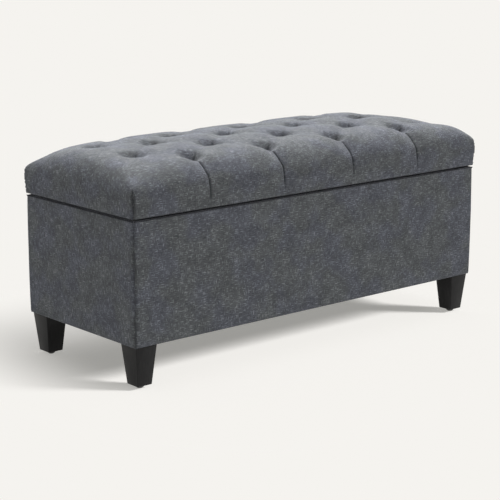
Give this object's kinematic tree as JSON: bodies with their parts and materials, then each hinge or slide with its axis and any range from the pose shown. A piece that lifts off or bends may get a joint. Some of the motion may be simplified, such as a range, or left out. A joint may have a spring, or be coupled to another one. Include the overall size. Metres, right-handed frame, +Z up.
{
  "type": "storage bench",
  "caption": "Upholstered storage bench: fabric-covered box on square tapered legs, with a hinged, diamond-tufted lid held up by gas struts.",
  "frame": {"origin": "on the floor, under the middle of the closed bench seen from above", "axes": "+X along the bench to its right end, -Y out of its front, +Z up"},
  "size_m": [1.1, 0.437, 0.52],
  "materials": {
    "carcass_wood": "raw sawn face",
    "leg_wood": "black lacquer over wood, satin",
    "upholstery": "slubbed plain weave, matt",
    "wadding": "soft fibre, matt",
    "foam": "open-cell foam, matt",
    "lining": "non-woven cloth, matt",
    "dust_cloth": "non-woven cloth, matt",
    "twine": "waxed thread",
    "zinc_steel": "zinc-plated, satin",
    "hinge_steel": "zinc-plated, satin",
    "bracket_steel": "black powder coat",
    "strut_tube": "black paint, satin",
    "strut_rod": "ground and polished",
    "bumper_rubber": "matt",
    "glide_plastic": "matt"
  },
  "bodies": {
    "base": {"front_panel": "carcass_wood", "back_panel": "carcass_wood", "left_panel": "carcass_wood", "right_panel": "carcass_wood", "bottom_panel": "carcass_wood", "front_cleat": "carcass_wood", "back_cleat": "carcass_wood", "left_cleat": "carcass_wood", "right_cleat": "carcass_wood", "centre_rail": "carcass_wood", "front_left_block": "carcass_wood", "front_right_block": "carcass_wood", "back_left_block": "carcass_wood", "back_right_block": "carcass_wood", "box_wadding": "wadding", "box_cover": "upholstery", "storage_lining": "lining", "dust_cover": "dust_cloth", "front_left_leg": "leg_wood", "front_right_leg": "leg_wood", "back_left_leg": "leg_wood", "back_right_leg": "leg_wood", "leg_bolts": "zinc_steel", "leg_tee_nuts": "zinc_steel", "leg_glides": "glide_plastic", "rim_bumpers": "bumper_rubber", "panel_screws": "zinc_steel", "left_hinge_base_leaf": "hinge_steel", "middle_hinge_base_leaf": "hinge_steel", "right_hinge_base_leaf": "hinge_steel", "left_hinge_pin": "hinge_steel", "middle_hinge_pin": "hinge_steel", "right_hinge_pin": "hinge_steel", "hinge_base_screws": "zinc_steel", "left_strut_base_bracket": "bracket_steel", "right_strut_base_bracket": "bracket_steel", "strut_base_screws": "zinc_steel"},
    "left_cylinder": {"left_strut_cylinder": "strut_tube"},
    "right_cylinder": {"right_strut_cylinder": "strut_tube"},
    "lid": {"lid_board": "carcass_wood", "lid_foam": "foam", "lid_cover": "upholstery", "lid_lining": "lining", "tuft_twine": "twine", "tuft_washers": "zinc_steel", "left_hinge_lid_leaf": "hinge_steel", "middle_hinge_lid_leaf": "hinge_steel", "right_hinge_lid_leaf": "hinge_steel", "hinge_lid_screws": "zinc_steel", "left_strut_lid_bracket": "bracket_steel", "right_strut_lid_bracket": "bracket_steel", "strut_lid_screws": "zinc_steel"},
    "left_rod": {"left_strut_rod": "strut_rod"},
    "right_rod": {"right_strut_rod": "strut_rod"}
  },
  "joints": [
    {"name": "lid_hinge", "type": "hinge", "parent": "base", "child": "lid", "pos_m": [0, 0.2189, 0.39], "axis": [-1, 0, 0], "range_deg": [0, 82]},
    {"name": "left_cylinder_pivot", "type": "hinge", "parent": "base", "child": "left_cylinder", "pos_m": [-0.5115, 0.18013, 0.204], "axis": [-1, 0, 0], "range_deg": [0, 41]},
    {"name": "left_rod_pivot", "type": "hinge", "parent": "lid", "child": "left_rod", "pos_m": [-0.5115, 0.02942, 0.376], "axis": [-1, 0, 0], "range_deg": [-41, 0]},
    {"name": "right_cylinder_pivot", "type": "hinge", "parent": "base", "child": "right_cylinder", "pos_m": [0.5115, 0.18013, 0.204], "axis": [-1, 0, 0], "range_deg": [0, 41]},
    {"name": "right_rod_pivot", "type": "hinge", "parent": "lid", "child": "right_rod", "pos_m": [0.5115, 0.02942, 0.376], "axis": [-1, 0, 0], "range_deg": [-41, 0]}
  ],
  "couplings": [
    {"joint": "left_cylinder_pivot", "follows": "lid_hinge", "ratio": 0.5},
    {"joint": "left_rod_pivot", "follows": "lid_hinge", "ratio": -0.5},
    {"joint": "right_cylinder_pivot", "follows": "lid_hinge", "ratio": 0.5},
    {"joint": "right_rod_pivot", "follows": "lid_hinge", "ratio": -0.5}
  ]
}
